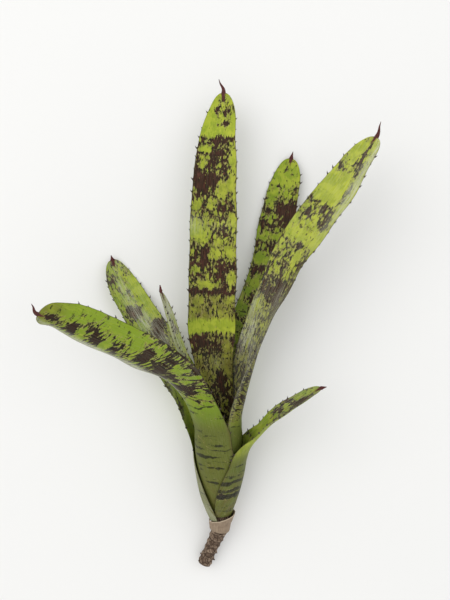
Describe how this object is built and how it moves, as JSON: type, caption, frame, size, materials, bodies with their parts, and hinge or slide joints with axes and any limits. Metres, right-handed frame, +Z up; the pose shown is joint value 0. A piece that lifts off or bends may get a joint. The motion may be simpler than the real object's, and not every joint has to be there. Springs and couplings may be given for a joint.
{
  "type": "bromeliad plant",
  "caption": "Cut offset of a tank bromeliad: broad strap leaves with toothed margins and mottled blades, rolled into a narrow tube on a short woody stem, laid on its back.",
  "frame": {"origin": "centre of the bounding box's underside, on the surface that the plant lies on", "axes": "+Y from the cut stem along the leaf tube to the tip of the tallest leaf, +Z up from the surface, +X to the right when the plant is seen from above with its leaf tips away"},
  "size_m": [0.198, 0.31, 0.0858],
  "materials": {
    "leaf_back_left": "living leaf, leathery, satin, stands in for plant tissue",
    "leaf_lower_right": "living leaf, leathery, satin, stands in for plant tissue",
    "leaf_front_left": "living leaf, leathery, satin, stands in for plant tissue",
    "leaf_back_right": "living leaf, leathery, satin, stands in for plant tissue",
    "leaf_right": "living leaf, leathery, satin, stands in for plant tissue",
    "leaf_tall_centre": "living leaf, leathery, satin, stands in for plant tissue",
    "leaf_heart": "living leaf, leathery, satin, stands in for plant tissue",
    "dry_bract": "dry papery scale leaf, matt",
    "stolon": "rough brown stem with ring scars, matt"
  },
  "bodies": {
    "root": {"leaf_back_left": "leaf_back_left", "leaf_lower_right": "leaf_lower_right", "leaf_front_left": "leaf_front_left", "leaf_back_right": "leaf_back_right", "leaf_right": "leaf_right", "leaf_tall_centre": "leaf_tall_centre", "leaf_heart": "leaf_heart", "dry_bract": "dry_bract", "stolon": "stolon"}
  },
  "joints": []
}
